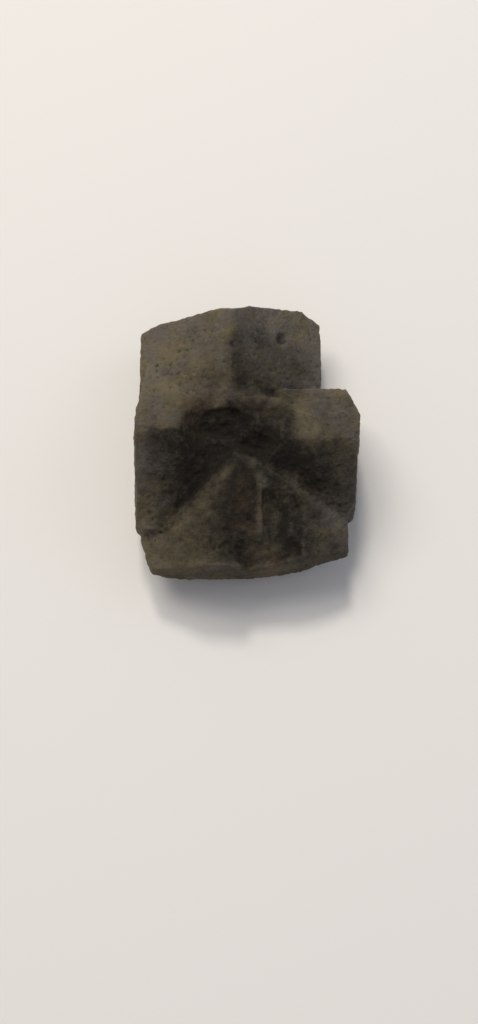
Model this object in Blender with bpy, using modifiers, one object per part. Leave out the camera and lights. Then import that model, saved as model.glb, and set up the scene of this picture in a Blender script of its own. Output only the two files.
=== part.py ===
"""Staurolite cross: a penetration twin of two stubby prisms that grew through each other.

The cross lies flat. +X runs along the right arm, +Y along the long far arm and +Z up. Both prisms
share the upright crystal axis, so each arm is a low roof above, the same roof upside down below,
and two upright sides between them. Everything is shaped in millimetres around the crossing, and the
last step wears the underside flat, puts the origin under the middle and scales the crystal to metres.
"""

import math
import random
from dataclasses import dataclass

import bmesh
import bpy
from mathutils import Matrix, Vector
from mathutils.bvhtree import BVHTree

METRES_PER_MM = 0.001
OBJECT_NAME = "staurolite_cross"
STONE_COLOUR = (0.075, 0.064, 0.048, 1.0)
STONE_ROUGHNESS = 0.62

# The prism faces of staurolite meet at 129.5 degrees along a crest, so each slopes 25.25 degrees.
FACE_SLOPE = 25.25
RIGHT_FRONT_SLOPE = 32.0
NEAR_RIGHT_SLOPE = 18.0
FAR_RIGHT_SLOPE = 31.0
NEAR_DIP = 3.0

# Heights above the surface that the crystal lies on. Wear takes off what reaches below it.
CREST = 10.0
RIGHT_CREST = 9.9
NEAR_CREST = 9.4
KEEL = -0.8

# Sideways places of the crests, in the directions of +Y and +X.
LEFT_CREST_Y = 0.4
RIGHT_CREST_Y = -0.5
FAR_CREST_X = -1.6
NEAR_CREST_X = -0.7

# The cut that rises beside a trough leans out by this much for each unit of height.
SCARP_LEAN = 0.3

# Wear of the whole surface: (name, kind of noise, size of its cells, depth).
GRAIN = 0.22
WEAR_STEPS = 2
ROUGHNESS = (
    ("swells", "CLOUDS", 2.6, 0.24),
    ("dimples", "VORONOI", 0.9, 0.12),
)
TRIANGLES = 8600

# Named pits: x, y and radius. The others are scattered above and below.
TOP_PITS = (
    (3.7, 10.6, 0.65),
    (-1.2, 8.7, 0.5),
    (-0.3, 4.7, 0.45),
    (2.7, 4.8, 0.4),
    (-3.2, -6.7, 0.5),
    (-4.4, -8.2, 0.45),
    (-6.4, -9.4, 0.4),
)
PIT_SEED = 11
PIT_TRIES = 60
PIT_ACROSS = (-10.0, 10.0)
PIT_ALONG = (-11.5, 13.0)
PIT_RADIUS = (0.3, 0.55)
PIT_SPACING = 2.2
PIT_SINK = 0.35


@dataclass
class Arm:
    """One arm, seen by someone who looks outwards along it. It starts `root` behind the crossing."""

    name: str
    heading: float
    reach: float
    crest_left: float
    crest: float
    left: float
    right: float
    left_slope: float = FACE_SLOPE
    right_slope: float = FACE_SLOPE
    dip: float = 0.0
    root: float = 1.0


ARMS = (
    Arm("near_arm", 270, 12.6, NEAR_CREST_X, NEAR_CREST, 9.6, 10.1, NEAR_RIGHT_SLOPE, dip=NEAR_DIP),
    Arm("far_arm", 90, 14.0, -FAR_CREST_X, CREST, 10.45, 7.35, right_slope=FAR_RIGHT_SLOPE, root=-0.3),
    Arm("left_arm", 180, 10.9, -LEFT_CREST_Y, CREST, 8.4, 9.0),
    Arm("right_arm", 0, 10.8, RIGHT_CREST_Y, RIGHT_CREST, 5.3, 6.85, right_slope=RIGHT_FRONT_SLOPE),
)


@dataclass
class Break:
    """A flat face: a point on it, the compass direction that it faces and how far it leans up, in degrees."""

    x: float
    y: float
    z: float
    heading: float
    lean: float

    @property
    def point(self):
        return Vector((self.x, self.y, self.z))

    @property
    def normal(self):
        heading = math.radians(self.heading)
        lean = math.radians(self.lean)
        level = math.cos(lean)
        return Vector((math.cos(heading) * level, math.sin(heading) * level, math.sin(lean)))

    def above(self, x, y):
        """The point of this face above or below a place."""
        aside = self.normal.x * (x - self.x) + self.normal.y * (y - self.y)
        return Vector((x, y, self.z - aside / self.normal.z))


LEFT_FRONT_FACE = Break(0.0, LEFT_CREST_Y, CREST, 270, 90 - FACE_SLOPE)
RIGHT_FRONT_FACE = Break(0.0, RIGHT_CREST_Y, RIGHT_CREST, 270, 90 - RIGHT_FRONT_SLOPE)

END_BREAKS = {
    "far_arm": (
        Break(4.7, 13.75, 5.0, 95, 4),
        Break(7.3, 12.85, 5.0, 66, 3),
        Break(-10.4, 11.65, 5.0, 122, 6),
        Break(-2.0, 13.1, 8.6, 92, 32),
        Break(0.0, 12.9, 2.0, 88, -24),
    ),
    "near_arm": (
        Break(-8.0, -12.15, 4.0, 268, 4),
        Break(2.0, -12.05, 4.0, 281, 3),
        Break(-9.6, -10.5, 4.0, 200, 4),
        Break(-9.5, -11.9, 4.0, 236, 4),
        Break(-1.0, -12.0, 1.6, 272, -22),
    ),
    "left_arm": (
        Break(-10.7, 0.0, 6.5, 182.5, 5),
        Break(-10.6, 2.4, 6.5, 171, 5),
        Break(-8.2, 0.4, 10.0, 180, 84),
        Break(-10.4, -7.8, 5.0, 222, 8),
        Break(-10.55, 0.0, 2.6, 178, -20),
    ),
    "right_arm": (
        Break(10.6, 0.0, 6.5, 356, 4),
        Break(10.35, 3.6, 6.0, 24, 6),
        Break(10.1, -0.5, 9.8, 0, 58),
        Break(9.75, -6.45, 5.0, 325, 8),
        Break(10.4, 0.0, 2.6, 3, -22),
    ),
}


def clear_scene():
    for thing in list(bpy.data.objects):
        bpy.data.objects.remove(thing, do_unlink=True)


def new_collection(name, hidden):
    group = bpy.data.collections.new(name)
    group.hide_render = hidden
    bpy.context.scene.collection.children.link(group)
    return group


def add_object(name, body, group):
    """Turns a bmesh's faces outwards and makes it an object of the group."""
    bmesh.ops.recalc_face_normals(body, faces=body.faces)
    mesh = bpy.data.meshes.new(name)
    body.to_mesh(mesh)
    body.free()
    thing = bpy.data.objects.new(name, mesh)
    group.objects.link(thing)
    if group.hide_render:
        thing.hide_render = True
        thing.display_type = "WIRE"
    return thing


def cleave(body, point, normal):
    """Breaks the body along a plane, drops what lies beyond it and closes the face."""
    geometry = body.verts[:] + body.edges[:] + body.faces[:]
    cut = bmesh.ops.bisect_plane(
        body, geom=geometry, dist=1e-5, plane_co=point, plane_no=normal, clear_outer=True
    )
    rim = [item for item in cut["geom_cut"] if isinstance(item, bmesh.types.BMEdge)]
    bmesh.ops.holes_fill(body, edges=rim, sides=0)


def box(low, high):
    low = Vector(low)
    high = Vector(high)
    body = bmesh.new()
    bmesh.ops.create_cube(body, size=1.0)
    bmesh.ops.scale(body, vec=high - low, verts=body.verts)
    bmesh.ops.translate(body, vec=(low + high) / 2, verts=body.verts)
    return body


def add_block(name, low, high, faces, group):
    """A box between two corners, cleaved by flat faces."""
    body = box(low, high)
    for face in faces:
        cleave(body, face.point, face.normal)
    return add_object(name, body, group)


def add_arm(arm, group):
    body = box((-arm.root, -arm.right, KEEL), (arm.reach, arm.left, arm.crest))
    dip = math.tan(math.radians(arm.dip))
    under = math.tan(math.radians(FACE_SLOPE))
    for side, slope in ((1, arm.left_slope), (-1, arm.right_slope)):
        over = math.tan(math.radians(slope))
        cleave(body, Vector((0, arm.crest_left, arm.crest)), Vector((dip, side * over, 1)).normalized())
        cleave(body, Vector((0, arm.crest_left, KEEL)), Vector((0, side * under, -1)).normalized())
    turn = Matrix.Rotation(math.radians(arm.heading), 3, "Z")
    bmesh.ops.rotate(body, matrix=turn, verts=body.verts)
    for face in END_BREAKS[arm.name]:
        cleave(body, face.point, face.normal)
    return add_object(arm.name, body, group)


def combine(thing, tool, operation):
    modifier = thing.modifiers.new(f"{operation.lower()}_{tool.name}", "BOOLEAN")
    modifier.operation = operation
    modifier.solver = "EXACT"
    modifier.object = tool


def bake_modifiers(thing):
    """Replaces the object's mesh with the one that its modifiers make."""
    graph = bpy.context.evaluated_depsgraph_get()
    finished = bpy.data.meshes.new_from_object(thing.evaluated_get(graph))
    thing.modifiers.clear()
    thing.data = finished


def add_hollow(tools):
    """The broken hollow where the crests would cross: back wall, floor, a ledge and two deep places."""
    left_part = add_block("hollow_left", (-7.0, -3.4, 6.8), (2.0, 5.0, 12.0), (
        Break(0.0, 2.5, 8.8, 90, -75),
        Break(-6.1, 1.0, 9.4, 188, -48),
        Break(-3.0, 3.1, 9.6, 84, -44),
        Break(0.9, 1.0, 9.2, 4, -34),
        Break(-0.8, -1.1, 9.2, 315, -16),
    ), tools)
    right_part = add_block("hollow_right", (-1.5, -2.7, 6.9), (4.2, 1.4, 12.1), (
        Break(0.6, 0.0, 8.1, 82, -74),
        Break(3.3, 0.0, 9.4, 348, -46),
        Break(0.0, 0.8, 9.2, 80, -44),
        Break(-0.8, -1.1, 9.2, 237, -16),
    ), tools)
    corner = add_block("hollow_corner", (-5.9, 1.2, 8.75), (-3.0, 4.1, 12.2), (
        Break(-5.5, 2.6, 9.4, 172, -40),
        Break(-4.7, 3.7, 9.4, 96, -40),
        Break(-3.9, 3.2, 9.4, 48, -40),
        Break(-5.2, 3.4, 9.4, 136, -40),
    ), tools)
    ledge = add_block("hollow_ledge", (-1.2, -0.9, 8.3), (4.1, 4.1, 12.3), (
        Break(2.0, 1.4, 9.1, 90, -76),
        Break(3.3, 1.0, 9.6, 350, -40),
        Break(2.0, 2.9, 9.6, 94, -42),
    ), tools)
    deep_left = add_block("deep_left", (-5.1, -1.1, 7.1), (-0.7, 2.45, 10.3), (
        Break(-3.0, 0.9, 7.6, 100, -80),
        Break(-5.0, 1.0, 8.4, 190, -26),
        Break(-3.0, 2.1, 8.4, 99, -46),
        Break(-3.0, -0.3, 8.4, 262, -40),
        Break(-1.1, 1.0, 8.4, 10, -36),
    ), tools)
    deep_right = add_block("deep_right", (-1.1, -2.25, 7.05), (2.3, 0.65, 10.4), (
        Break(0.5, -0.9, 7.5, 95, -80),
        Break(0.5, -1.6, 8.4, 252, -40),
        Break(0.5, -0.1, 8.2, 74, -48),
        Break(1.6, -1.0, 8.2, 332, -46),
    ), tools)
    return (left_part, right_part, corner, ledge, deep_left, deep_right)


def add_trough(name, inner, outer, fall, face, tools):
    """A wedge broken out of a face beside the line where two arms meet, deepest at that line."""
    inner_start, inner_end = (face.above(*place) for place in inner)
    outer_start, outer_end = (face.above(*place) for place in outer)
    inner_line = (inner_end - inner_start).normalized()
    outer_line = (outer_end - outer_start).normalized()
    across = Vector((outer_line.y, -outer_line.x, 0.0)).normalized()
    if across.dot(inner_start - outer_start) < 0:
        across = -across
    face_rise = -face.normal.dot(across) / face.normal.z
    floor = outer_line.cross(across + Vector((0, 0, face_rise - fall))).normalized()
    scarp = inner_line.cross(across * SCARP_LEAN + Vector((0, 0, 1))).normalized()
    body = box((-14, -14, 2), (14, 6, 14))
    cleave(body, outer_start, -floor if floor.z > 0 else floor)
    cleave(body, inner_start, scarp if scarp.dot(across) > 0 else -scarp)
    cleave(body, outer_start, -across)
    cleave(body, inner_start, -inner_line)
    return add_object(name, body, tools)


def add_troughs(tools):
    """The near arm stands a little proud of the faces on both sides, up to a point near the crossing."""
    left = ((-0.9, -1.3), (-8.6, -9.0)), ((-5.9, -0.6), (-8.9, -8.1))
    right = ((-0.5, -1.3), (9.3, -7.2)), ((3.2, -0.4), (9.2, -6.0))
    return (
        add_trough("left_trough", *left, 0.26, LEFT_FRONT_FACE, tools),
        add_trough("right_trough", *right, 0.14, RIGHT_FRONT_FACE, tools),
    )


def add_near_arm_breaks(tools):
    """A widening groove along the near arm's crest, a chip at its end and an arched hollow beside it."""
    groove = add_block("groove", (-7.0, -13.0, 4.5), (2.0, -3.2, 12.0), (
        Break(-1.5, -11.0, 7.5, 95, -76),
        Break(0.9, -8.0, 8.0, 2, -12),
        Break(-0.4, -3.8, 9.0, 90, -24),
        Break(-1.0, -4.0, 9.0, 158, -20),
    ), tools)
    end_chip = add_block("end_chip", (-1.0, -13.2, 4.2), (4.2, -9.0, 10.1), (
        Break(1.5, -12.0, 5.8, 92, -50),
        Break(-0.5, -11.5, 6.5, 184, -22),
        Break(3.7, -11.5, 6.5, 356, -26),
    ), tools)
    arch = add_block("arch", (1.4, -13.1, 4.0), (7.0, -3.6, 10.0), (
        Break(3.6, -8.0, 6.8, 178, -72),
        Break(2.1, -8.0, 7.2, 180, -42),
        Break(5.9, -8.0, 7.3, 2, -60),
        Break(3.5, -4.0, 7.6, 90, -54),
        Break(2.4, -4.5, 7.6, 135, -34),
        Break(4.9, -4.8, 7.5, 42, -50),
    ), tools)
    return (groove, end_chip, arch)


def add_lumps(tools):
    """What stands proud: a swelling on the right crest, a lip at the hollow and a small rib in the arch."""
    swelling = add_block("swelling", (3.0, -0.6, 6.0), (7.6, 4.0, 10.05), (
        Break(5.0, 1.5, 9.35, 90, 66),
        Break(6.6, 1.2, 8.9, 14, 76),
        Break(5.0, 3.4, 8.3, 100, 32),
        Break(5.0, -0.55, 9.8, 270, 58),
    ), tools)
    lip = add_block("lip", (-1.0, 2.7, 6.0), (3.2, 4.1, 9.4), (
        Break(1.0, 3.3, 9.02, 4, 66),
        Break(1.0, 3.9, 8.7, 88, 30),
    ), tools)
    rib = add_block("rib", (3.3, -10.1, 4.0), (5.0, -6.6, 8.0), (
        Break(4.2, -8.4, 7.2, 8, 50),
        Break(4.0, -8.4, 7.2, 186, 50),
        Break(4.1, -7.9, 7.2, 90, 50),
        Break(4.1, -9.0, 7.2, 270, 50),
    ), tools)
    return (swelling, lip, rib)


def add_pits(surface, tools):
    """Round weathered pits, each a ball that is sunk into the surface from above or from below."""
    tree = BVHTree.FromObject(surface, bpy.context.evaluated_depsgraph_get())
    dice = random.Random(PIT_SEED)
    wanted = [(x, y, radius, -1) for x, y, radius in TOP_PITS]
    for _ in range(PIT_TRIES):
        place = (dice.uniform(*PIT_ACROSS), dice.uniform(*PIT_ALONG))
        wanted.append((*place, dice.uniform(*PIT_RADIUS), dice.choice((-1, 1))))
    body = bmesh.new()
    placed = []
    for x, y, radius, down in wanted:
        hit = tree.ray_cast(Vector((x, y, -down * 30.0)), Vector((0, 0, down)))[0]
        if hit is None or any((hit - other).length < PIT_SPACING for other in placed):
            continue
        placed.append(hit)
        centre = hit - Vector((0, 0, down * radius * PIT_SINK))
        bmesh.ops.create_icosphere(body, subdivisions=1, radius=radius, matrix=Matrix.Translation(centre))
    return add_object("pits", body, tools)


def weather(crystal):
    """Rounds the breaks a little and roughens the faces, then keeps the triangles that matter."""
    remesh = crystal.modifiers.new("even_mesh", "REMESH")
    remesh.mode = "VOXEL"
    remesh.voxel_size = GRAIN
    wear = crystal.modifiers.new("wear", "SMOOTH")
    wear.iterations = WEAR_STEPS
    for name, kind, scale, depth in ROUGHNESS:
        texture = bpy.data.textures.new(name, kind)
        texture.noise_scale = scale
        push = crystal.modifiers.new(name, "DISPLACE")
        push.texture = texture
        push.strength = depth
        push.mid_level = 0.5
    bake_modifiers(crystal)
    crystal.data.calc_loop_triangles()
    thin = crystal.modifiers.new("thin_out", "DECIMATE")
    thin.ratio = TRIANGLES / len(crystal.data.loop_triangles)
    thin.use_collapse_triangulate = True
    bake_modifiers(crystal)


def lay_down(crystal):
    """Wears the lowest crests flat at z = 0, puts the origin under the middle and scales to metres."""
    body = bmesh.new()
    body.from_mesh(crystal.data)
    cleave(body, Vector((0, 0, 0)), Vector((0, 0, -1)))
    low = Vector([min(vert.co[axis] for vert in body.verts) for axis in range(3)])
    high = Vector([max(vert.co[axis] for vert in body.verts) for axis in range(3)])
    middle = (low + high) / 2
    bmesh.ops.translate(body, vec=(-middle.x, -middle.y, -low.z), verts=body.verts)
    bmesh.ops.scale(body, vec=Vector((1, 1, 1)) * METRES_PER_MM, verts=body.verts)
    body.to_mesh(crystal.data)
    body.free()


def add_stone(crystal):
    stone = bpy.data.materials.new("staurolite")
    stone.use_nodes = True
    shader = stone.node_tree.nodes["Principled BSDF"]
    shader.inputs["Base Color"].default_value = STONE_COLOUR
    shader.inputs["Roughness"].default_value = STONE_ROUGHNESS
    shader.inputs["Metallic"].default_value = 0.0
    crystal.data.materials.clear()
    crystal.data.materials.append(stone)


def build():
    clear_scene()
    shapes = new_collection(OBJECT_NAME, hidden=False)
    tools = new_collection("cutters", hidden=True)
    crystal = add_arm(ARMS[0], shapes)
    crystal.name = OBJECT_NAME
    for arm in ARMS[1:]:
        combine(crystal, add_arm(arm, tools), "UNION")
    for cutter in (*add_hollow(tools), *add_near_arm_breaks(tools), *add_troughs(tools)):
        combine(crystal, cutter, "DIFFERENCE")
    for lump in add_lumps(tools):
        combine(crystal, lump, "UNION")
    bake_modifiers(crystal)
    combine(crystal, add_pits(crystal, tools), "DIFFERENCE")
    bake_modifiers(crystal)
    weather(crystal)
    lay_down(crystal)
    add_stone(crystal)
    for tool in list(tools.objects):
        bpy.data.objects.remove(tool, do_unlink=True)


build()
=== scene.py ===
"""Staurolite cross: the dressed crystal on a pale sheet.

The crystal is cut in millimetres around the crossing of its arms, with +X along the right arm,
+Y along the long far arm and +Z up. Its last step sets it in the frame, in metres.
"""

import math
from dataclasses import dataclass

import bpy
import numpy as np
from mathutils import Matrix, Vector, noise
from mathutils.bvhtree import BVHTree


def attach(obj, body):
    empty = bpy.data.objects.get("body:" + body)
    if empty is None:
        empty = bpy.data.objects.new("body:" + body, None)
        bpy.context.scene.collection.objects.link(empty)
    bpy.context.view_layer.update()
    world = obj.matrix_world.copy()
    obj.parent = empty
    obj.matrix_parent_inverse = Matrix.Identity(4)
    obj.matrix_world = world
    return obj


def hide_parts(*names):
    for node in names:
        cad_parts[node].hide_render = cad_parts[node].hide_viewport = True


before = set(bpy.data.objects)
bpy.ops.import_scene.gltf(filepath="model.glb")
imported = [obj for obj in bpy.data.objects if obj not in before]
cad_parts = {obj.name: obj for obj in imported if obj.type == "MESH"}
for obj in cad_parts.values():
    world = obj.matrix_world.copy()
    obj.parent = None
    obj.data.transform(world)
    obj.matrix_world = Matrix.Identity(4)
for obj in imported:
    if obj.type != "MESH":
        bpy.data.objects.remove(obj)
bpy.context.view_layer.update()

METRES_PER_MM = 0.001

# Where the crossing of the arms lies in the frame, in millimetres.
CROSSING = Vector((0.034, -0.6456, 0.0))

# The prism faces of staurolite meet at 129.5 degrees along a crest, so each slopes 25.25 degrees.
# Three faces have a slope of their own.
FACE_SLOPE = 25.25
RIGHT_FRONT_SLOPE = 32.0
NEAR_RIGHT_SLOPE = 18.0
FAR_RIGHT_SLOPE = 31.0

# The heights of the crests and of the keels below them, and how far each crest runs off the middle.
CREST = 10.0
RIGHT_CREST = 9.9
NEAR_CREST = 9.4
NEAR_DIP = 3.0
KEEL = -0.8
LEFT_CREST_Y = 0.4
RIGHT_CREST_Y = -0.5
FAR_CREST_X = -1.6
NEAR_CREST_X = -0.7

# Each trough is cut from a block that covers the whole front of the cross.
TROUGH_BLOCK = (-14, -14, 2), (14, 6, 14)
SCARP_LEAN = 0.3

# The length of one face of the finished mesh, and how many triangles it may keep.
GRAIN = 0.125
MOST_TRIANGLES = 192000


@dataclass
class Arm:
    """One arm, seen by someone who looks outwards along it.

    It heads in a compass direction, 0 along +X and 90 along +Y, and starts `root` behind the crossing.
    Its crest falls outwards by `dip` degrees.
    """

    name: str
    heading: float
    reach: float
    crest_left: float
    crest: float
    left: float
    right: float
    left_slope: float = FACE_SLOPE
    right_slope: float = FACE_SLOPE
    dip: float = 0.0
    root: float = 1.0


ARMS = (
    Arm(
        "near_arm", 270, 12.6, NEAR_CREST_X, NEAR_CREST, 9.6, 10.1,
        left_slope=NEAR_RIGHT_SLOPE, dip=NEAR_DIP,
    ),
    Arm("far_arm", 90, 14.0, -FAR_CREST_X, CREST, 10.45, 7.35, right_slope=FAR_RIGHT_SLOPE, root=-0.3),
    Arm("left_arm", 180, 10.9, -LEFT_CREST_Y, CREST, 8.4, 9.0),
    Arm("right_arm", 0, 10.8, RIGHT_CREST_Y, RIGHT_CREST, 5.3, 6.85, right_slope=RIGHT_FRONT_SLOPE),
)


@dataclass
class Break:
    """A flat face: a point on it, the compass direction that it faces and how far it leans up, in degrees."""

    x: float
    y: float
    z: float
    heading: float
    lean: float

    @property
    def point(self):
        return Vector((self.x, self.y, self.z))

    @property
    def normal(self):
        heading = math.radians(self.heading)
        lean = math.radians(self.lean)
        level = math.cos(lean)
        return Vector((math.cos(heading) * level, math.sin(heading) * level, math.sin(lean)))

    def above(self, x, y):
        """The point of this face above or below a place."""
        aside = self.normal.x * (x - self.x) + self.normal.y * (y - self.y)
        return Vector((x, y, self.z - aside / self.normal.z))


LEFT_FRONT_FACE = Break(0.0, LEFT_CREST_Y, CREST, 270, 90 - FACE_SLOPE)
RIGHT_FRONT_FACE = Break(0.0, RIGHT_CREST_Y, RIGHT_CREST, 270, 90 - RIGHT_FRONT_SLOPE)

END_BREAKS = {
    "far_arm": (
        Break(0.8, 13.38, 5.0, 97, 4),
        Break(7.3, 13.0, 5.0, 66, 3),
        Break(-10.35, 11.6, 5.0, 122, 6),
        Break(-2.0, 13.1, 8.6, 92, 32),
        Break(0.0, 12.9, 2.0, 88, -24),
    ),
    "near_arm": (
        Break(-8.0, -12.15, 4.0, 268, 4),
        Break(2.0, -12.05, 4.0, 281, 3),
        Break(-9.6, -10.5, 4.0, 200, 4),
        Break(-9.5, -11.9, 4.0, 236, 4),
        Break(-1.0, -12.0, 1.6, 272, -22),
    ),
    "left_arm": (
        Break(-10.7, 0.0, 6.5, 182.5, 5),
        Break(-10.6, 2.4, 6.5, 171, 5),
        Break(-8.2, 0.4, 10.0, 180, 84),
        Break(-10.4, -7.8, 5.0, 222, 8),
        Break(-10.55, 0.0, 2.6, 178, -20),
    ),
    "right_arm": (
        Break(10.6, 0.0, 6.5, 356, 4),
        Break(10.35, 3.6, 6.0, 24, 6),
        Break(10.1, -0.5, 9.8, 0, 58),
        Break(9.85, -6.5, 5.0, 325, 8),
        Break(10.4, 0.0, 2.6, 3, -22),
    ),
}


# --- Working by hand -------------------------------------------------------------------------------


def take_up(piece):
    """Makes one piece the only one that the next steps work on."""
    bpy.ops.object.select_all(action="DESELECT")
    piece.select_set(True)
    bpy.context.view_layer.objects.active = piece


def cleave(piece, planes):
    """Breaks the piece along each (point, normal), drops what lies beyond and closes the face."""
    take_up(piece)
    bpy.ops.object.mode_set(mode="EDIT")
    for point, normal in planes:
        bpy.ops.mesh.select_all(action="SELECT")
        bpy.ops.mesh.bisect(plane_co=point, plane_no=normal, use_fill=True, clear_outer=True, threshold=1e-5)
    bpy.ops.mesh.select_all(action="SELECT")
    bpy.ops.mesh.normals_make_consistent(inside=False)
    bpy.ops.object.mode_set(mode="OBJECT")


def cut_block(name, low, high, planes):
    """A block between two corners, cleaved along each (point, normal)."""
    bpy.ops.object.select_all(action="DESELECT")
    low = Vector(low)
    high = Vector(high)
    bpy.ops.mesh.primitive_cube_add(size=1.0, location=(low + high) / 2, scale=high - low)
    block = bpy.context.object
    block.name = name
    bpy.ops.object.transform_apply(location=True, rotation=True, scale=True)
    cleave(block, planes)
    return block


def cut_block_by(name, low, high, *faces):
    """A block between two corners, cleaved along flat faces."""
    return cut_block(name, low, high, [(face.point, face.normal) for face in faces])


def apply_modifier(piece, modifier):
    take_up(piece)
    bpy.ops.object.modifier_apply(modifier=modifier.name)


def work_in(crystal, tool, operation):
    """Joins the tool's shape to the crystal, or takes it away."""
    change = crystal.modifiers.new(tool.name, "BOOLEAN")
    change.operation = operation
    change.solver = "EXACT"
    change.object = tool
    apply_modifier(crystal, change)
    bpy.data.objects.remove(tool, do_unlink=True)


# --- The twin --------------------------------------------------------------------------------------


def cut_arm(arm):
    """A bar with a roof on top and the same roof upside down below, broken off at its end."""
    dip = math.tan(math.radians(arm.dip))
    under = math.tan(math.radians(FACE_SLOPE))
    planes = []
    for side, slope in ((1, arm.left_slope), (-1, arm.right_slope)):
        over = math.tan(math.radians(slope))
        planes.append((Vector((0, arm.crest_left, arm.crest)), Vector((dip, side * over, 1)).normalized()))
        planes.append((Vector((0, arm.crest_left, KEEL)), Vector((0, side * under, -1)).normalized()))
    piece = cut_block(arm.name, (-arm.root, -arm.right, KEEL), (arm.reach, arm.left, arm.crest), planes)
    piece.rotation_euler.z = math.radians(arm.heading)
    take_up(piece)
    bpy.ops.object.transform_apply(location=True, rotation=True, scale=True)
    cleave(piece, [(face.point, face.normal) for face in END_BREAKS[arm.name]])
    return piece


def cut_twin():
    """The four arms in one solid."""
    twin = cut_arm(ARMS[0])
    for arm in ARMS[1:]:
        work_in(twin, cut_arm(arm), "UNION")
    return twin


def copy_of(piece, name):
    take_up(piece)
    bpy.ops.object.duplicate(linked=False)
    copy = bpy.context.object
    copy.name = name
    return copy


def hollow_tools():
    """The broken hollow where the crests would cross: back wall, floor, a ledge and two deep places."""
    yield cut_block_by(
        "hollow_left", (-7.0, -3.4, 6.8), (2.0, 5.0, 12.0),
        Break(0.0, 2.5, 8.8, 90, -75),
        Break(-6.1, 1.0, 9.4, 188, -48),
        Break(-3.0, 3.1, 9.6, 84, -52),
        Break(0.9, 1.0, 9.2, 4, -34),
        Break(-0.8, -1.1, 9.2, 315, -16),
    )
    yield cut_block_by(
        "hollow_right", (-1.5, -2.7, 6.9), (4.2, 1.4, 12.1),
        Break(0.6, 0.0, 8.1, 82, -74),
        Break(3.3, 0.0, 9.4, 348, -46),
        Break(0.0, 0.8, 9.2, 80, -44),
        Break(-0.8, -1.1, 9.2, 237, -16),
    )
    yield cut_block_by(
        "hollow_corner", (-5.9, 1.2, 8.75), (-3.0, 4.1, 12.2),
        Break(-5.5, 2.6, 9.4, 172, -40),
        Break(-4.7, 3.7, 9.4, 96, -40),
        Break(-3.9, 3.2, 9.4, 48, -40),
        Break(-5.2, 3.4, 9.4, 136, -40),
    )
    yield cut_block_by(
        "hollow_ledge", (-1.2, -0.9, 8.3), (4.1, 4.1, 12.3),
        Break(2.0, 1.4, 9.1, 90, -76),
        Break(3.3, 1.0, 9.6, 350, -40),
        Break(2.0, 2.9, 9.6, 94, -42),
    )
    yield cut_block_by(
        "deep_left", (-5.1, -1.1, 7.1), (-0.7, 2.45, 10.3),
        Break(-3.0, 0.9, 7.6, 100, -80),
        Break(-5.0, 1.0, 8.4, 190, -26),
        Break(-3.0, 2.0, 8.4, 99, -60),
        Break(-3.0, -0.3, 8.4, 262, -40),
        Break(-1.1, 1.0, 8.4, 10, -36),
    )
    yield cut_block_by(
        "deep_right", (-1.1, -2.25, 7.05), (2.3, 0.65, 10.4),
        Break(0.5, -0.9, 7.5, 95, -80),
        Break(0.5, -1.6, 8.4, 252, -40),
        Break(0.5, -0.1, 8.2, 74, -48),
        Break(1.6, -1.0, 8.2, 332, -46),
    )


def cut_trough(name, inner, outer, fall, face):
    """A wedge broken out of a face, from the line where two arms meet to a line beside it.

    Its floor leaves the face at the outer line and drops below it by `fall` for each unit across. It ends at
    a scarp that stands along the inner line.
    """
    inner_start, inner_end = (face.above(*place) for place in inner)
    outer_start, outer_end = (face.above(*place) for place in outer)
    inner_line = (inner_end - inner_start).normalized()
    outer_line = (outer_end - outer_start).normalized()
    across = Vector((outer_line.y, -outer_line.x, 0.0)).normalized()
    if across.dot(inner_start - outer_start) < 0:
        across = -across
    face_rise = -face.normal.dot(across) / face.normal.z
    floor = outer_line.cross(across + Vector((0, 0, face_rise - fall))).normalized()
    scarp = inner_line.cross(across * SCARP_LEAN + Vector((0, 0, 1))).normalized()
    return cut_block(name, *TROUGH_BLOCK, (
        (outer_start, -floor if floor.z > 0 else floor),
        (inner_start, scarp if scarp.dot(across) > 0 else -scarp),
        (outer_start, -across),
        (inner_start, -inner_line),
    ))


def trough_tools():
    """The near arm stands a little proud of the faces on both sides, up to a point near the crossing."""
    yield cut_trough(
        "left_trough",
        inner=((-0.9, -1.3), (-8.6, -9.0)), outer=((-5.9, -0.6), (-8.9, -8.1)),
        fall=0.26, face=LEFT_FRONT_FACE,
    )
    yield cut_trough(
        "right_trough",
        inner=((-0.5, -1.3), (9.3, -7.2)), outer=((3.2, -0.4), (9.2, -6.0)),
        fall=0.14, face=RIGHT_FRONT_FACE,
    )


def near_arm_tools():
    """A widening groove along the near arm's crest, a chip at its end and an arched hollow beside it."""
    yield cut_block_by(
        "groove", (-7.0, -13.0, 4.5), (2.0, -3.2, 12.0),
        Break(-1.5, -11.0, 7.5, 95, -76),
        Break(0.9, -8.0, 8.0, 2, -12),
        Break(-0.4, -3.8, 9.0, 90, -24),
        Break(-1.0, -4.0, 9.0, 158, -20),
    )
    yield cut_block_by(
        "end_chip", (-1.0, -13.2, 4.2), (4.2, -9.0, 10.1),
        Break(1.5, -12.0, 5.8, 92, -50),
        Break(-0.5, -11.5, 6.5, 184, -22),
        Break(3.7, -11.5, 6.5, 356, -26),
    )
    yield cut_block_by(
        "arch", (1.4, -13.1, 4.0), (7.0, -3.6, 10.0),
        Break(3.6, -8.0, 6.8, 178, -72),
        Break(2.1, -8.0, 7.2, 180, -42),
        Break(5.9, -8.0, 7.3, 2, -60),
        Break(3.5, -4.0, 7.6, 90, -54),
        Break(2.7, -4.8, 7.6, 135, -56),
        Break(4.9, -4.8, 7.5, 42, -50),
    )


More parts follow.
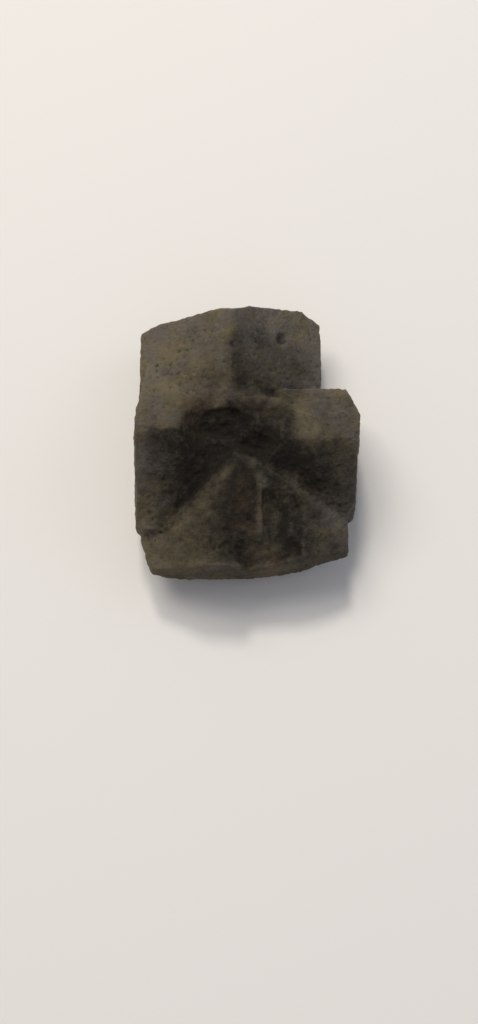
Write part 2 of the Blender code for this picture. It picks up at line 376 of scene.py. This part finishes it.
def lumps():
    """What stands proud: a swelling on the right crest, a lip at the hollow and a small rib in the arch."""
    yield cut_block_by(
        "swelling", (3.0, -0.6, 6.0), (7.6, 4.0, 10.05),
        Break(5.0, 1.5, 9.35, 90, 66),
        Break(6.6, 1.2, 8.9, 14, 76),
        Break(5.0, 3.4, 8.3, 100, 32),
        Break(5.0, -0.55, 9.8, 270, 58),
    )
    yield cut_block_by(
        "lip", (-1.0, 2.7, 6.0), (3.2, 4.1, 9.4),
        Break(1.0, 3.3, 9.02, 4, 66),
        Break(1.0, 3.9, 8.7, 88, 30),
    )
    yield cut_block_by(
        "rib", (3.3, -10.1, 4.0), (5.0, -6.6, 8.0),
        Break(4.2, -8.4, 7.2, 8, 50),
        Break(4.0, -8.4, 7.2, 186, 50),
        Break(4.1, -7.9, 7.2, 90, 50),
        Break(4.1, -9.0, 7.2, 270, 50),
    )


# --- Wear, weather and painted light ---------------------------------------------------------------

# A place is broken from this depth below the twin's faces on. Each pair says where a mark sets in and where
# it is full, in millimetres.
BROKEN_DEPTH = (0.1, 0.5)

# The mark of the right crest sets in along the arm and up its faces, and fades away beside the crest line.
RIGHT_CREST_START = (2.0, 4.5)
RIGHT_CREST_FOOT = (6.5, 7.5)
RIGHT_CREST_SIDES = (0.2, 1.8)

# The noise values between which a patch sets in and is full, and how finely marks are stepped.
PATCH_SPAN = (-0.25, 0.35)
WEIGHT_LEVELS = 20

# How many times each place is smoothed.
WEAR_ALL_OVER = 8
WEAR_OF_BROKEN_PLACES = 40
WEAR_OF_RIGHT_CREST = 70

# Pits that show on top: across, along, the radius of the ball that cuts them and how deep it is sunk.
TOP_PITS = (
    (3.7, 10.5, 0.9, 0.35),
    (-1.2, 8.7, 0.6, 0.3),
    (2.7, 4.8, 0.45, 0.25),
    (-3.2, -6.7, 0.5, 0.25),
    (-4.4, -8.2, 0.5, 0.25),
    (-6.4, -9.4, 0.4, 0.2),
)


def pit_tools(crystal):
    """Balls that are sunk a little into the top."""
    tree = BVHTree.FromObject(crystal, bpy.context.evaluated_depsgraph_get())
    for across, along, radius, sink in TOP_PITS:
        hit = tree.ray_cast(Vector((across, along, 30.0)), Vector((0, 0, -1)))[0]
        bpy.ops.object.select_all(action="DESELECT")
        centre = hit + Vector((0, 0, radius - sink))
        bpy.ops.mesh.primitive_ico_sphere_add(subdivisions=3, radius=radius, location=centre)
        yield bpy.context.object


def even_mesh(crystal, size):
    """Gives the crystal a new mesh with faces of this size all over."""
    remesh = crystal.modifiers.new("even_mesh", "REMESH")
    remesh.mode = "VOXEL"
    remesh.voxel_size = size
    apply_modifier(crystal, remesh)


def thin_mesh(crystal, most):
    """Gives smooth places larger faces, until the mesh has this many triangles at most."""
    triangles = sum(len(face.vertices) - 2 for face in crystal.data.polygons)
    thin = crystal.modifiers.new("thin", "DECIMATE")
    thin.ratio = min(1.0, most / triangles)
    apply_modifier(crystal, thin)


def wear_edges(crystal, steps, where=""):
    """Rubs edges round, all over or within a vertex group."""
    wear = crystal.modifiers.new("wear", "SMOOTH")
    wear.factor = 0.5
    wear.iterations = steps
    wear.vertex_group = where
    apply_modifier(crystal, wear)


def roughen(crystal, name, kind, size, depth, middle=0.5, where="", ramp=None, **settings):
    """Moves the surface in and out by a noise with cells of this size, all over or within a vertex group.

    Where the noise equals `middle`, the surface stays. A ramp, if there is one, stretches the noise from 0 at
    its low end to 1 at its high end.
    """
    texture = bpy.data.textures.new(name, kind)
    texture.noise_scale = size
    for key, value in settings.items():
        setattr(texture, key, value)
    if ramp:
        texture.use_color_ramp = True
        low, high = texture.color_ramp.elements
        low.position, high.position = ramp
        low.color = (0, 0, 0, 1)
        high.color = (1, 1, 1, 1)
    push = crystal.modifiers.new(name, "DISPLACE")
    push.texture = texture
    push.strength = depth
    push.mid_level = middle
    push.vertex_group = where
    apply_modifier(crystal, push)


def points_of(mesh):
    """The places of a mesh's points, one row for each."""
    places = np.empty(len(mesh.vertices) * 3, np.float32)
    mesh.vertices.foreach_get("co", places)
    return places.reshape(-1, 3)


def depth_below(crystal, whole):
    """How far each point lies below the surface that the whole twin had, in millimetres."""
    tree = BVHTree.FromObject(whole, bpy.context.evaluated_depsgraph_get())
    return np.array([tree.find_nearest(Vector(place))[3] for place in points_of(crystal.data)])


def soft_step(values, low, high):
    """Rises smoothly from 0 below `low` to 1 above `high`."""
    share = np.clip((values - low) / (high - low), 0.0, 1.0)
    return share * share * (3.0 - 2.0 * share)


def mark_group(crystal, name, weights):
    """Makes a vertex group with these weights, rounded to a few levels."""
    group = crystal.vertex_groups.new(name=name)
    levels = np.round(weights * WEIGHT_LEVELS).astype(int)
    for level in range(1, WEIGHT_LEVELS + 1):
        members = np.flatnonzero(levels == level)
        if len(members):
            group.add(members.tolist(), level / WEIGHT_LEVELS, "REPLACE")


def mark_patches(crystal, name, size, shift):
    """Marks soft patches of about this size, so that the weather bites here and spares there."""
    offset = Vector((shift, 0, 0))
    places = points_of(crystal.data)
    drift = np.array([noise.noise(Vector(place) / size + offset) for place in places])
    mark_group(crystal, name, soft_step(drift, *PATCH_SPAN))


def right_crest_share(places):
    """How much each place belongs to the crest of the right arm, which is rubbed rounder than the others."""
    along = soft_step(places[:, 0], *RIGHT_CREST_START)
    beside = 1.0 - soft_step(np.abs(places[:, 1] - RIGHT_CREST_Y), *RIGHT_CREST_SIDES)
    on_top = soft_step(places[:, 2], *RIGHT_CREST_FOOT)
    return along * beside * on_top


def mark_surface(crystal, name, values):
    """Keeps one number for each point, for the material to read."""
    attribute = crystal.data.attributes.new(name, "FLOAT", "POINT")
    attribute.data.foreach_set("value", np.asarray(values, np.float32))


def hollowness(crystal, steps):
    """How far each point lies below the surface smoothed by this many steps: positive in a hollow."""
    mesh = crystal.data
    places = points_of(mesh).astype(np.float64)
    ends = np.empty(len(mesh.edges) * 2, np.int32)
    mesh.edges.foreach_get("vertices", ends)
    ends = ends.reshape(-1, 2)
    links = np.bincount(ends.ravel(), minlength=len(places)).astype(np.float64)
    smooth = places.copy()
    for _ in range(steps):
        total = np.zeros_like(smooth)
        for axis in range(3):
            total[:, axis] += np.bincount(ends[:, 0], smooth[ends[:, 1], axis], len(places))
            total[:, axis] += np.bincount(ends[:, 1], smooth[ends[:, 0], axis], len(places))
        smooth = 0.5 * smooth + 0.5 * total / links[:, None]
    normals = np.empty(len(mesh.vertices) * 3, np.float32)
    mesh.vertices.foreach_get("normal", normals)
    return ((smooth - places) * normals.reshape(-1, 3)).sum(axis=1)


@dataclass
class Stroke:
    """A soft brush stroke, straight down on the crystal, from its start to its end."""

    start: tuple
    reach: float
    strength: float
    end: tuple = None

    def on(self, places):
        start = np.array(self.start)
        along = np.array(self.end or self.start) - start
        share = (places[:, :2] - start) @ along / max(along @ along, 1e-9)
        nearest = start + np.clip(share, 0.0, 1.0)[:, None] * along
        away = np.linalg.norm(places[:, :2] - nearest, axis=1)
        return self.strength * np.exp(-((away / self.reach) ** 2))


def brushed(places, strokes):
    return sum(stroke.on(places) for stroke in strokes)


# The pale film of weathered mica is thin at the stained heart of the cross and thick at its ends. Distance
# from the heart counts for less along the near arm.
HEART = (0.0, -2.0)
HEART_REACH = (3.0, 14.0)
NEAR_SQUEEZE = 0.7

FAR_ARM_FILM_AND_PAINTED_LIGHT = (
    # The left face is pale all over, most of all at its outer edge.
    Stroke((-6.4, 7.6), 4.0, 0.24),
    Stroke((-8.6, 11.3), 2.0, 0.14),
    Stroke((-9.6, 7.2), 1.1, 0.20, (-9.6, 9.6)),
    Stroke((-3.4, 6.0), 1.2, -0.10, (-6.0, 5.6)),
    Stroke((-4.0, 5.0), 1.0, 0.20, (-5.6, 5.8)),
    Stroke((-5.2, 4.6), 0.8, 0.20, (-2.6, 4.2)),
    # The crest has a pale line on its left and a dark one on its right: painted light and painted shade.
    Stroke((-2.3, 4.6), 0.5, 0.14, (-2.4, 12.4)),
    Stroke((-1.9, 10.3), 0.8, -0.12, (-2.4, 9.2)),
    Stroke((-0.6, 4.8), 0.6, -0.12, (-0.7, 7.4)),
    Stroke((-0.8, 8.0), 0.6, -0.26, (-0.8, 12.8)),
    # The right face is dark, partly painted shade, with a pale edge and one pale spot near its end.
    Stroke((1.8, 5.0), 2.6, -0.17, (1.4, 13.0)),
    Stroke((0.6, 12.0), 1.4, -0.14, (1.4, 10.0)),
    Stroke((4.2, 4.4), 1.0, -0.14, (5.0, 9.6)),
    Stroke((6.9, 6.5), 1.1, 0.06, (6.8, 10.5)),
    Stroke((6.2, 5.6), 0.8, 0.30, (7.4, 6.8)),
    Stroke((2.7, 11.7), 0.75, 0.75),
)
LEFT_ARM_FILM_AND_PAINTED_LIGHT = (
    # A pale spot lies on the back face.
    Stroke((-6.4, 3.4), 0.35, 0.35),
    # The front face is pale at the end and dark along the trough, partly as painted shade.
    Stroke((-9.6, -2.5), 1.2, 0.20, (-9.3, -5.0)),
    Stroke((-8.2, -1.2), 0.9, -0.16, (-8.5, -3.6)),
    Stroke((-3.6, -1.2), 1.5, -0.22, (-7.4, -6.4)),
    Stroke((-5.0, -4.8), 0.5, -0.20, (-6.6, -6.0)),
    # The foot of the trough is pale again: painted light over the shade of its scarp.
    Stroke((-7.0, -6.2), 0.7, 0.24, (-8.0, -7.2)),
    Stroke((-8.2, -5.6), 1.3, 0.20),
    Stroke((-9.3, -8.5), 0.9, 0.50),
    Stroke((-9.6, -8.4), 1.0, 0.30),
)
RIGHT_ARM_FILM = (
    # The swelling on the crest is pale, between the dark hollow and a duller end.
    Stroke((6.0, 0.3), 1.2, 0.24, (5.2, 2.8)),
    Stroke((5.3, 0.4), 0.8, 0.22, (5.0, 2.2)),
    Stroke((4.6, -0.1), 0.6, 0.16, (6.0, -0.1)),
    Stroke((3.6, 2.2), 0.7, -0.16, (3.8, 0.6)),
    Stroke((9.6, 2.6), 1.9, -0.18),
    Stroke((9.7, -0.6), 0.7, 0.16),
    # The front face is mottled.
    Stroke((7.5, -2.2), 0.9, -0.14),
    Stroke((7.5, -2.5), 2.4, -0.04),
    Stroke((3.4, -2.3), 0.7, 0.14),
    Stroke((3.0, -2.6), 1.3, -0.14, (7.0, -5.0)),
    Stroke((5.5, -3.6), 1.5, -0.14, (8.6, -4.6)),
    Stroke((6.7, -3.9), 0.9, 0.20),
    Stroke((6.4, -6.6), 1.2, -0.20),
)
HOLLOW_FILM_AND_PAINTED_LIGHT = (
    # The lip and back wall are pale, painted light on the shaded wall; corner and floor are dark, partly
    # painted shade.
    Stroke((-0.6, 3.8), 0.6, 0.42, (3.0, 3.8)),
    Stroke((-2.5, 3.0), 0.9, 0.70),
    Stroke((-3.0, 2.3), 0.6, 0.60, (-1.6, 2.3)),
    Stroke((-4.6, 3.0), 0.5, -0.30),
    Stroke((-1.0, 1.0), 2.6, -0.50, (-3.6, 0.8)),
    Stroke((-3.3, 0.8), 1.0, -0.25, (-1.6, -0.5)),
    Stroke((-3.8, -0.9), 0.9, -0.50, (-1.2, -0.6)),
    Stroke((0.8, -1.0), 1.4, -0.40),
    Stroke((1.8, -1.3), 0.9, -0.25),
)
NEAR_ARM_FILM_AND_PAINTED_LIGHT = (
    # A pale band runs from the point beside the left trough, partly painted light on the lit leg.
    Stroke((-0.8, -1.8), 0.6, 0.40, (-2.2, -3.6)),
    Stroke((-1.8, -3.4), 0.8, 0.30, (-6.2, -7.7)),
    Stroke((-2.3, -6.0), 0.5, 0.20),
    Stroke((-4.0, -6.4), 0.35, 0.30),
    Stroke((-6.6, -8.4), 0.4, 0.30),
    Stroke((-2.8, -9.2), 0.8, -0.22, (-4.0, -10.7)),
    # Another one runs beside the right trough, down to the dark corner.
    Stroke((-0.4, -1.7), 0.6, 0.36, (2.2, -2.9)),
    Stroke((2.2, -2.9), 0.7, 0.34, (4.4, -3.9)),
    Stroke((4.4, -3.9), 0.7, 0.22, (8.4, -7.4)),
    Stroke((9.2, -8.7), 1.0, 0.34),
    Stroke((9.5, -9.5), 2.6, -0.34),
    # The groove is dark, partly painted shade; the rib to its right and the chip at its end are pale, the
    # chip partly painted light.
    Stroke((0.0, -4.4), 1.0, -0.55, (-1.0, -8.2)),
    Stroke((-1.2, -6.6), 0.8, -0.22, (-1.4, -8.6)),
    Stroke((0.4, -2.7), 0.7, 0.60, (1.3, -4.4)),
    Stroke((1.1, -4.2), 0.7, 0.34, (1.6, -10.4)),
    Stroke((1.0, -10.6), 1.0, 0.95, (2.0, -11.0)),
    # The arched hollow is pale at its top: painted light on its shaded top wall.
    Stroke((1.8, -4.5), 0.6, 0.40),
    Stroke((3.4, -5.0), 1.0, 0.80),
    Stroke((5.2, -8.8), 1.0, -0.26),
    Stroke((5.2, -9.8), 1.5, -0.20),
    # So is the rim at the end, partly painted light thrown back from the paper.
    Stroke((-5.0, -12.2), 1.0, 0.22, (4.0, -12.2)),
)
FILM_AND_PAINTED_LIGHT_STROKES = FAR_ARM_FILM_AND_PAINTED_LIGHT + LEFT_ARM_FILM_AND_PAINTED_LIGHT + RIGHT_ARM_FILM + HOLLOW_FILM_AND_PAINTED_LIGHT + NEAR_ARM_FILM_AND_PAINTED_LIGHT

# Where the film is grey and not olive.
GREY_STROKES = (
    Stroke((6.5, 8.5), 3.0, 0.8),
    Stroke((1.6, 11.5), 3.0, 0.9),
    Stroke((-8.0, 12.0), 2.6, 0.6),
    Stroke((-9.5, -3.0), 2.2, 0.9),
    Stroke((8.4, 1.6), 2.0, 0.8),
    Stroke((9.5, -6.0), 3.6, 0.9),
    Stroke((4.2, -8.6), 1.4, 0.7),
    Stroke((-5.0, -8.0), 3.0, -0.9),
)

# Rust gathers in the hollow, in the groove and in the chip at its end.
RUST_STROKES = (
    Stroke((-4.6, 6.0), 1.4, 0.3),
    Stroke((-5.6, 3.2), 1.1, 0.7, (-2.6, 3.0)),
    Stroke((-5.4, 2.6), 0.8, 0.5, (-5.2, 0.6)),
    Stroke((1.4, 3.0), 1.0, 0.5, (0.4, 3.2)),
    Stroke((-0.2, -5.0), 1.1, 0.7, (-0.6, -8.0)),
    Stroke((1.6, -6.0), 0.7, 0.45, (1.6, -9.0)),
    Stroke((0.4, -11.0), 1.1, 0.8, (2.2, -11.3)),
)

# Painted light and shade: steep faces paler, faces towards the near arm darker. Broken places lose most film.
PAINTED_LIGHT_BY_FACING = 0.28
STEEP_FACES_PAINTED_LIGHT = 0.35
END_FACES_STEEP = (0.5, 0.9)
BROKEN_FILM_LOSS_AND_SHADE = 0.6
BROKEN_FILM_AND_SHADE_DEPTH = (0.15, 0.7)
CAVITY_STEPS = 8


def paint_weathering_and_light(crystal, whole):
    """Paints film, with painted light and shade, grey bloom, rust and hollowness as numbers for the stone's
    material.
    """
    tree = BVHTree.FromObject(whole, bpy.context.evaluated_depsgraph_get())
    places = points_of(crystal.data)
    nearest = [tree.find_nearest(Vector(place)) for place in places]
    facing = np.array([found[1] for found in nearest])
    depth = np.array([found[3] for found in nearest])
    squeeze = np.where(places[:, 1] < HEART[1], NEAR_SQUEEZE, 1.0)
    away = np.hypot(places[:, 0] - HEART[0], (places[:, 1] - HEART[1]) * squeeze)
    thin, thick = HEART_REACH
    film_and_painted_light = (away - thin) / (thick - thin)
    # Faces towards the lamps are painted paler and faces towards the near arm darker: painted light and
    # shade.
    film_and_painted_light += PAINTED_LIGHT_BY_FACING * facing[:, 1] * (1.0 - right_crest_share(places))
    # Steep faces are painted paler: painted light thrown back from the paper.
    film_and_painted_light += STEEP_FACES_PAINTED_LIGHT * soft_step(1.0 - np.abs(facing[:, 2]), *END_FACES_STEEP)
    # The strokes paint film, and painted light and shade where some faces lie in shade.
    film_and_painted_light += brushed(places, FILM_AND_PAINTED_LIGHT_STROKES)
    # Deep broken places lose film: partly fresh dark stone, partly painted shade in the deep hollows.
    film_and_painted_light *= 1.0 - BROKEN_FILM_LOSS_AND_SHADE * soft_step(depth, *BROKEN_FILM_AND_SHADE_DEPTH)
    mark_surface(crystal, "film_and_painted_light", film_and_painted_light)
    mark_surface(crystal, "grey", brushed(places, GREY_STROKES))
    mark_surface(crystal, "rust", brushed(places, RUST_STROKES))
    mark_surface(crystal, "cavity", hollowness(crystal, CAVITY_STEPS))


def carve(crystal):
    """Takes away the hollow, the groove, the arch, the troughs and the pits, and adds the lumps."""
    for tools in (hollow_tools(), near_arm_tools(), trough_tools()):
        for tool in tools:
            work_in(crystal, tool, "DIFFERENCE")
    for lump in lumps():
        work_in(crystal, lump, "UNION")
    for pit in list(pit_tools(crystal)):
        work_in(crystal, pit, "DIFFERENCE")


def weather(crystal, whole):
    """Wears the edges and roughens the faces, most of all where the twin is broken."""
    even_mesh(crystal, GRAIN)
    wear_edges(crystal, WEAR_ALL_OVER)
    mark_group(crystal, "broken", soft_step(depth_below(crystal, whole), *BROKEN_DEPTH))
    wear_edges(crystal, WEAR_OF_BROKEN_PLACES, "broken")
    mark_group(crystal, "rubbed", right_crest_share(points_of(crystal.data)))
    wear_edges(crystal, WEAR_OF_RIGHT_CREST, "rubbed")
    mark_patches(crystal, "pitted", size=2.2, shift=0.0)
    mark_patches(crystal, "eaten", size=3.1, shift=40.0)
    roughen(crystal, "swells", "CLOUDS", size=2.6, depth=0.24)
    roughen(crystal, "dimples", "VORONOI", size=1.3, depth=0.16, where="eaten")
    roughen(
        crystal, "chips", "CLOUDS", size=1.7, depth=0.30, where="broken",
        noise_basis="VORONOI_F2_F1", noise_depth=1,
    )
    roughen(
        crystal, "splinters", "CLOUDS", size=0.6, depth=0.12, where="broken",
        noise_basis="CELL_NOISE", noise_depth=2,
    )
    roughen(crystal, "pits", "VORONOI", size=0.6, depth=0.26, middle=1.0, where="pitted", ramp=(0.0, 0.36))
    roughen(
        crystal, "crumbs", "CLOUDS", size=0.9, depth=0.14, where="eaten",
        noise_basis="VORONOI_CRACKLE", noise_depth=1,
    )
    roughen(
        crystal, "scales", "CLOUDS", size=0.8, depth=0.16, middle=0.25,
        noise_basis="VORONOI_F2_F1", noise_depth=1,
    )
    roughen(crystal, "grains", "CLOUDS", size=0.28, depth=0.09, noise_depth=2)
    crystal.vertex_groups.clear()


def model_crystal():
    crystal = cut_twin()
    crystal.name = "crystal"
    whole = copy_of(crystal, "whole_twin")
    carve(crystal)
    weather(crystal, whole)

    # Roughening can fold the surface over itself, so a last even mesh makes it one closed skin again. The
    # flat cut below lets the crystal lie steady.
    even_mesh(crystal, GRAIN)
    thin_mesh(crystal, MOST_TRIANGLES)
    cleave(crystal, [(Vector((0, 0, 0)), Vector((0, 0, -1)))])
    paint_weathering_and_light(crystal, whole)
    bpy.data.objects.remove(whole, do_unlink=True)
    return crystal


def set_in_frame(crystal):
    """Moves the crystal from its own millimetres to its place in the frame, in metres."""
    take_up(crystal)
    crystal.location = CROSSING * METRES_PER_MM
    crystal.scale = (METRES_PER_MM,) * 3
    bpy.ops.object.transform_apply(location=True, rotation=True, scale=True)
    bpy.ops.object.shade_smooth()


# --- The stone -------------------------------------------------------------------------------------

STAINED = (0.0128, 0.010, 0.0066, 1)
OLIVE_FILM = (0.142, 0.116, 0.068, 1)
GREY_FILM = (0.127, 0.109, 0.089, 1)
RUST = (0.058, 0.036, 0.018, 1)
MICA = (0.27, 0.24, 0.19, 1)
GARNET = (0.036, 0.010, 0.008, 1)

# How fully each of them covers what lies under it.
FILM_COVER = 0.85
PORE_COVER = 0.45
MICA_COVER = 0.15
GARNET_COVER = 0.9

# Small hollows are painted darker, as painted shade, and small edges paler. The spans are values of the
# painted cavity.
HOLLOW_SPAN = (0.005, 0.05)
HOLLOW_PAINTED_SHADE = 0.55
EDGE_SPAN = (-0.012, -0.06)
EDGES_PALER = 0.16

# The stone is dull, and its flecks and garnets are glossier by the glint. The bumps' depths are in metres.
ROUGHNESS = (0.6, 0.92)
GLINT = 0.3
SPECULAR = 0.18
CRUMBLE_DEPTH = 0.0003
TOOTH_DEPTH = 0.00007


class Nodes:
    """Lays out the nodes of one material."""

    def __init__(self, material):
        self.tree = material.node_tree
        self.shader = self.tree.nodes["Principled BSDF"]

    def feed(self, socket, value):
        """Links an input to another node's output, or sets it to a value."""
        if isinstance(value, bpy.types.NodeSocket):
            self.tree.links.new(value, socket)
        else:
            socket.default_value = value

    def add(self, kind, inputs, output=0, **settings):
        """Adds a node with these inputs and settings, and gives back one of its outputs."""
        node = self.tree.nodes.new(kind)
        for name, value in settings.items():
            setattr(node, name, value)
        for name, value in inputs.items():
            self.feed(node.inputs[name], value)
        return node.outputs[output]

    def millimetres(self):
        """The place on the crystal, in millimetres."""
        place = self.add("ShaderNodeTexCoord", {}, "Object")
        return self.add("ShaderNodeMapping", {"Vector": place, "Scale": (1 / METRES_PER_MM,) * 3})

    def painted(self, name):
        """A number painted on the mesh."""
        return self.add("ShaderNodeAttribute", {}, "Fac", attribute_name=name)

    def noise(self, place, cells_per_mm, detail, roughness=0.5, warp=0.0):
        return self.add("ShaderNodeTexNoise", {
            "Vector": place,
            "Scale": cells_per_mm,
            "Detail": detail,
            "Roughness": roughness,
            "Distortion": warp,
        }, "Fac")

    def wander(self, place, reach):
        """Shifts each place a little by a noise, so that round cells turn ragged."""
        drift = self.add("ShaderNodeTexNoise", {"Vector": place, "Scale": 2.2, "Detail": 4.0}, "Color")
        inputs = {0: drift, 1: (reach,) * 3, 2: place}
        return self.add("ShaderNodeVectorMath", inputs, operation="MULTIPLY_ADD")

    def uneven(self, place, cells_per_mm, swing, detail=4.0, roughness=0.5, warp=0.0, span=(0.3, 0.7)):
        """A noise that swings this far below and above zero."""
        noise_value = self.noise(place, cells_per_mm, detail, roughness, warp)
        return self.spread(noise_value, *span, -swing, swing)

    def specks(self, place, cells_per_mm, size, share):
        """Small round grains, in this share of the cells."""
        settings = {"Vector": place, "Scale": cells_per_mm}
        away = self.add("ShaderNodeTexVoronoi", settings)
        chance = self.add("ShaderNodeTexVoronoi", settings, "Color")
        chosen = self.spread(chance, share + 0.02, share)
        return self.times(self.spread(away, size, size * 0.6), chosen)

    def spread(self, value, low, high, to_low=0.0, to_high=1.0):
        """Stretches the values from `low` to `high` over another span, and holds those beyond at its ends."""
        return self.add("ShaderNodeMapRange", {
            "Value": value, "From Min": low, "From Max": high, "To Min": to_low, "To Max": to_high,
        })

    def sum(self, first, second):
        return self.add("ShaderNodeMath", {0: first, 1: second}, operation="ADD")

    def times(self, first, second):
        return self.add("ShaderNodeMath", {0: first, 1: second}, operation="MULTIPLY")

    def blend(self, share, first, second):
        """Goes from the first colour to the second. Inputs 6 and 7 and output 2 are those for colours."""
        inputs = {"Factor": share, 6: first, 7: second}
        return self.add("ShaderNodeMix", inputs, output=2, data_type="RGBA", clamp_factor=True)

    def bump(self, height, strength, depth, over=None):
        """A bumpy surface, over another one if there is one."""
        inputs = {"Strength": strength, "Distance": depth, "Height": height}
        if over is not None:
            inputs["Normal"] = over
        return self.add("ShaderNodeBump", inputs)


def make_stone():
    """Dark stained stone under a patchy film, with rust, pores, mica flecks, a few garnets, and painted light
    and shade.
    """
    stone = bpy.data.materials.new("weathered_staurolite_and_painted_light")
    stone.use_nodes = True
    nodes = Nodes(stone)
    place = nodes.millimetres()

    blotches = nodes.uneven(place, 0.42, 0.22, roughness=0.55, warp=0.6)
    mottle = nodes.uneven(place, 1.3, 0.13, roughness=0.6)
    grain = nodes.uneven(place, 7.0, 0.17, detail=3.0, roughness=0.7, span=(0.25, 0.75))
    # The painted film value carries painted light and shade as well as the film.
    film_and_painted_light = nodes.sum(nodes.painted("film_and_painted_light"), nodes.sum(blotches, nodes.sum(mottle, grain)))
    bloom = nodes.spread(nodes.noise(place, 0.5, detail=3.0), 0.35, 0.65, -0.3, 0.8)
    film_colour = nodes.blend(nodes.sum(nodes.painted("grey"), bloom), OLIVE_FILM, GREY_FILM)
    colour = nodes.blend(nodes.times(film_and_painted_light, FILM_COVER), STAINED, film_colour)

    rust_patches = nodes.spread(nodes.noise(place, 0.9, detail=5.0, roughness=0.65, warp=0.8), 0.35, 0.65)
    colour = nodes.blend(nodes.times(nodes.painted("rust"), rust_patches), colour, RUST)

    # Small hollows take the dark stone colour: painted shade.
    hollow_shade = nodes.spread(nodes.painted("cavity"), *HOLLOW_SPAN, 0.0, HOLLOW_PAINTED_SHADE)
    colour = nodes.blend(hollow_shade, colour, STAINED)
    edges = nodes.spread(nodes.painted("cavity"), *EDGE_SPAN, 0.0, EDGES_PALER)
    colour = nodes.blend(edges, colour, film_colour)

    ragged = nodes.wander(place, 1.2)
    pored = nodes.spread(nodes.noise(place, 0.7, detail=3.0), 0.48, 0.62)
    large_pores = nodes.specks(ragged, 1.3, size=0.34, share=0.35)
    small_pores = nodes.specks(ragged, 2.9, size=0.34, share=0.40)
    pores = nodes.times(nodes.sum(large_pores, small_pores), pored)
    colour = nodes.blend(nodes.times(pores, PORE_COVER), colour, STAINED)
    mica = nodes.specks(ragged, 3.1, size=0.20, share=0.30)
    colour = nodes.blend(nodes.times(mica, MICA_COVER), colour, MICA)
    garnets = nodes.specks(ragged, 0.75, size=0.15, share=0.10)
    colour = nodes.blend(nodes.times(garnets, GARNET_COVER), colour, GARNET)
    nodes.feed(nodes.shader.inputs["Base Color"], colour)

    dullness = nodes.spread(nodes.noise(place, 2.3, detail=4.0), 0.3, 0.7, *ROUGHNESS)
    glints = nodes.times(nodes.sum(mica, garnets), -GLINT)
    nodes.feed(nodes.shader.inputs["Roughness"], nodes.sum(dullness, glints))
    nodes.shader.inputs["Specular IOR Level"].default_value = SPECULAR

    crumbs = nodes.noise(place, 3.2, detail=5.0, roughness=0.65, warp=0.4)
    crumble = nodes.bump(crumbs, strength=0.7, depth=CRUMBLE_DEPTH)
    teeth = nodes.noise(place, 11.0, detail=4.0, roughness=0.7)
    tooth = nodes.bump(teeth, strength=0.6, depth=TOOTH_DEPTH, over=crumble)
    nodes.feed(nodes.shader.inputs["Normal"], tooth)
    return stone


crystal = model_crystal()
set_in_frame(crystal)
crystal.data.materials.clear()
crystal.data.materials.append(make_stone())
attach(crystal, "root")
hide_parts("staurolite_cross")


# --- Sheet, camera and light -----------------------------------------------------------------------

PAPER_SIZE = 12.0
PAPER = (0.82, 0.79, 0.74, 1)

# The camera stands on the near side, this far and this steeply above the place on the paper that it aims at.
AIM = Vector((-0.716, -5.763, 0.0)) * METRES_PER_MM
CAMERA_HEIGHT = math.radians(76)
CAMERA_DISTANCE = 0.110
CAMERA_LENS = 38.67

LAMP_DISTANCE = 0.65
ROOM_LIGHT = (0.89, 0.90, 1.0, 1.0)
ROOM_STRENGTH = 0.34


def lay_paper():
    bpy.ops.object.select_all(action="DESELECT")
    bpy.ops.mesh.primitive_plane_add(size=PAPER_SIZE, location=(0, 0, 0))
    sheet = bpy.context.object
    sheet.name = "paper_sheet"
    paper = bpy.data.materials.new("paper")
    paper.use_nodes = True
    shader = paper.node_tree.nodes["Principled BSDF"]
    shader.inputs["Base Color"].default_value = PAPER
    shader.inputs["Roughness"].default_value = 0.9
    sheet.data.materials.append(paper)
    return sheet


def set_up_camera():
    camera = bpy.data.cameras.new("camera")
    camera.lens = CAMERA_LENS
    camera.sensor_width = 36
    camera.sensor_fit = "AUTO"
    camera.clip_start = 0.001
    camera.clip_end = 10
    stand = bpy.data.objects.new("camera", camera)
    bpy.context.scene.collection.objects.link(stand)
    back = Vector((0, -math.cos(CAMERA_HEIGHT), math.sin(CAMERA_HEIGHT)))
    stand.location = AIM + back * CAMERA_DISTANCE
    stand.rotation_euler = (math.radians(90) - CAMERA_HEIGHT, 0, 0)
    return stand


def hang_lamp(name, turn, height, size, power, colour):
    """A square soft lamp that shines at the crystal, `turn` degrees to the left of +Y."""
    lamp = bpy.data.lights.new(name, "AREA")
    lamp.size = size
    lamp.energy = power
    lamp.color = colour
    turn = math.radians(turn)
    height = math.radians(height)
    level = math.cos(height)
    towards = Vector((-math.sin(turn) * level, math.cos(turn) * level, math.sin(height)))
    hanger = bpy.data.objects.new(name, lamp)
    hanger.location = towards * LAMP_DISTANCE
    hanger.rotation_euler = (-towards).to_track_quat("-Z", "Y").to_euler()
    bpy.context.scene.collection.objects.link(hanger)


def fill_room_with_light():
    world = bpy.data.worlds.new("room")
    world.use_nodes = True
    background = world.node_tree.nodes["Background"]
    background.inputs["Color"].default_value = ROOM_LIGHT
    background.inputs["Strength"].default_value = ROOM_STRENGTH
    bpy.context.scene.world = world


sheet = lay_paper()
bpy.context.scene.camera = set_up_camera()
hang_lamp("window_lamp", turn=40, height=55, size=0.34, power=1.98, colour=(1.0, 0.96, 0.90))
hang_lamp("desk_lamp", turn=8, height=51, size=0.10, power=1.54, colour=(1.0, 0.95, 0.87))
hang_lamp("sky_lamp", turn=-75, height=35, size=0.35, power=0.40, colour=(0.62, 0.78, 1.0))
fill_room_with_light()
bpy.context.scene.view_settings.view_transform = "Standard"
